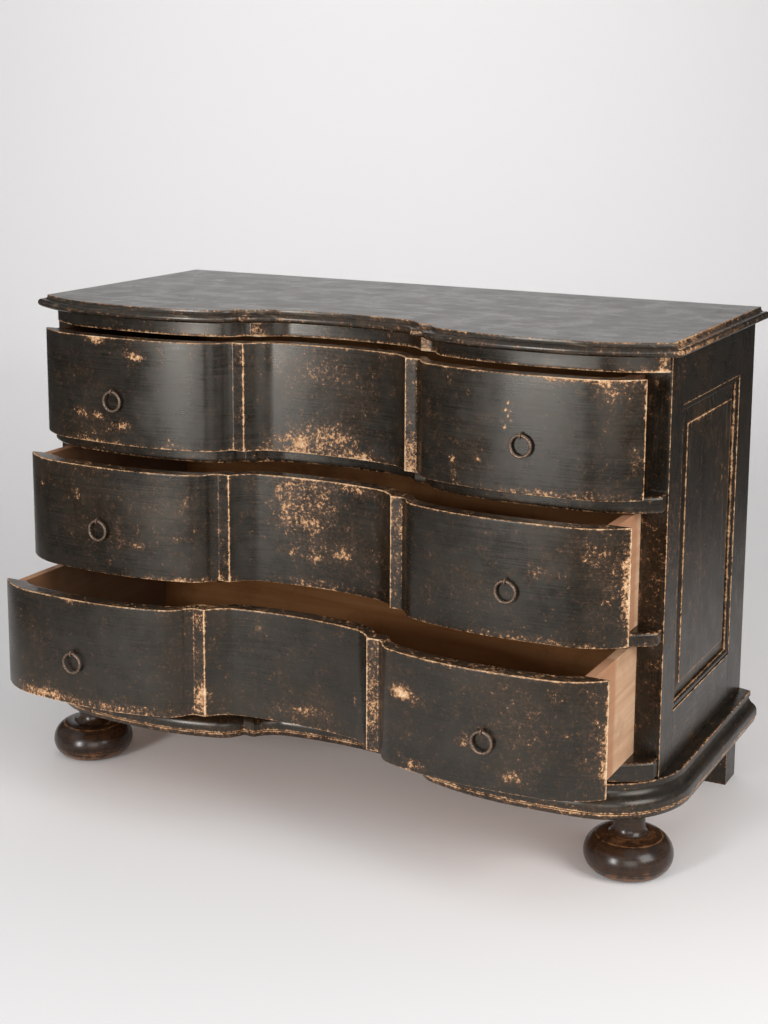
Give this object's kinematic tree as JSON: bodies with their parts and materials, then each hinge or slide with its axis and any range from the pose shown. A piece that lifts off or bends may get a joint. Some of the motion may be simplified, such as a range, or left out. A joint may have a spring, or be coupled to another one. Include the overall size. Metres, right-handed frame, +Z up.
{
  "type": "chest of drawers",
  "caption": "Serpentine-fronted chest of drawers with a moulded top and plinth, framed and panelled sides, turned bun feet and ring pulls, drawers standing partly open.",
  "frame": {"origin": "on the floor, under the middle of the footprint with the drawers open as at rest", "axes": "+X to the right as one faces the drawers, +Y to the back, +Z up; the drawers open along -Y"},
  "size_m": [1.187, 0.6914, 0.84],
  "materials": {
    "black_paint": "worn satin paint",
    "bare_pine": "bare",
    "foot_varnish": "gloss varnish",
    "iron": "dark, rubbed"
  },
  "bodies": {
    "carcase": {"back_board_lower": "bare_pine", "back_board_middle": "bare_pine", "back_board_upper": "bare_pine", "base_back_rail": "bare_pine", "bottom_board": "bare_pine", "bottom_rail": "black_paint", "bottom_runner_left": "bare_pine", "bottom_runner_right": "bare_pine", "bun_foot_left": "foot_varnish", "bun_foot_right": "foot_varnish", "frieze_rail": "black_paint", "front_stile_left": "black_paint", "front_stile_right": "black_paint", "kickers": "bare_pine", "lower_drawer_rail": "black_paint", "lower_runner_left": "bare_pine", "lower_runner_right": "bare_pine", "panel_bead_left": "black_paint", "panel_bead_right": "black_paint", "plinth_front": "black_paint", "plinth_left": "black_paint", "plinth_right": "black_paint", "rear_foot_left": "black_paint", "rear_foot_right": "black_paint", "rear_stile_left": "black_paint", "rear_stile_right": "black_paint", "side_bottom_rail_left": "black_paint", "side_bottom_rail_right": "black_paint", "side_panel_left": "black_paint", "side_panel_right": "black_paint", "side_top_rail_left": "black_paint", "side_top_rail_right": "black_paint", "top_board": "black_paint", "upper_drawer_rail": "black_paint", "upper_runner_left": "bare_pine", "upper_runner_right": "bare_pine"},
    "top_drawer": {"top_drawer_back": "bare_pine", "top_drawer_bottom": "bare_pine", "top_drawer_front": "black_paint", "top_drawer_left_side": "bare_pine", "top_drawer_pull_eyes": "iron", "top_drawer_right_side": "bare_pine"},
    "top_drawer_left_ring": {"top_drawer_left_ring": "iron"},
    "top_drawer_right_ring": {"top_drawer_right_ring": "iron"},
    "middle_drawer": {"middle_drawer_back": "bare_pine", "middle_drawer_bottom": "bare_pine", "middle_drawer_front": "black_paint", "middle_drawer_left_side": "bare_pine", "middle_drawer_pull_eyes": "iron", "middle_drawer_right_side": "bare_pine"},
    "middle_drawer_left_ring": {"middle_drawer_left_ring": "iron"},
    "middle_drawer_right_ring": {"middle_drawer_right_ring": "iron"},
    "bottom_drawer": {"bottom_drawer_back": "bare_pine", "bottom_drawer_bottom": "bare_pine", "bottom_drawer_front": "black_paint", "bottom_drawer_left_side": "bare_pine", "bottom_drawer_pull_eyes": "iron", "bottom_drawer_right_side": "bare_pine"},
    "bottom_drawer_left_ring": {"bottom_drawer_left_ring": "iron"},
    "bottom_drawer_right_ring": {"bottom_drawer_right_ring": "iron"}
  },
  "joints": [
    {"name": "top_drawer_slide", "type": "slide", "parent": "carcase", "child": "top_drawer", "axis": [0, -1, 0], "range_m": [-0.055, 0.245]},
    {"name": "top_drawer_left_ring_swing", "type": "hinge", "parent": "top_drawer", "child": "top_drawer_left_ring", "pos_m": [-0.368, -0.21507, 0.6995], "axis": [-1, 0, 0], "range_deg": [-5, 170]},
    {"name": "top_drawer_right_ring_swing", "type": "hinge", "parent": "top_drawer", "child": "top_drawer_right_ring", "pos_m": [0.368, -0.21507, 0.6995], "axis": [-1, 0, 0], "range_deg": [-5, 170]},
    {"name": "middle_drawer_slide", "type": "slide", "parent": "carcase", "child": "middle_drawer", "axis": [0, -1, 0], "range_m": [-0.1025, 0.1975]},
    {"name": "middle_drawer_left_ring_swing", "type": "hinge", "parent": "middle_drawer", "child": "middle_drawer_left_ring", "pos_m": [-0.368, -0.26257, 0.4895], "axis": [-1, 0, 0], "range_deg": [-5, 170]},
    {"name": "middle_drawer_right_ring_swing", "type": "hinge", "parent": "middle_drawer", "child": "middle_drawer_right_ring", "pos_m": [0.368, -0.26257, 0.4895], "axis": [-1, 0, 0], "range_deg": [-5, 170]},
    {"name": "bottom_drawer_slide", "type": "slide", "parent": "carcase", "child": "bottom_drawer", "axis": [0, -1, 0], "range_m": [-0.18, 0.12]},
    {"name": "bottom_drawer_left_ring_swing", "type": "hinge", "parent": "bottom_drawer", "child": "bottom_drawer_left_ring", "pos_m": [-0.368, -0.34007, 0.2835], "axis": [-1, 0, 0], "range_deg": [-5, 170]},
    {"name": "bottom_drawer_right_ring_swing", "type": "hinge", "parent": "bottom_drawer", "child": "bottom_drawer_right_ring", "pos_m": [0.368, -0.34007, 0.2835], "axis": [-1, 0, 0], "range_deg": [-5, 170]}
  ]
}
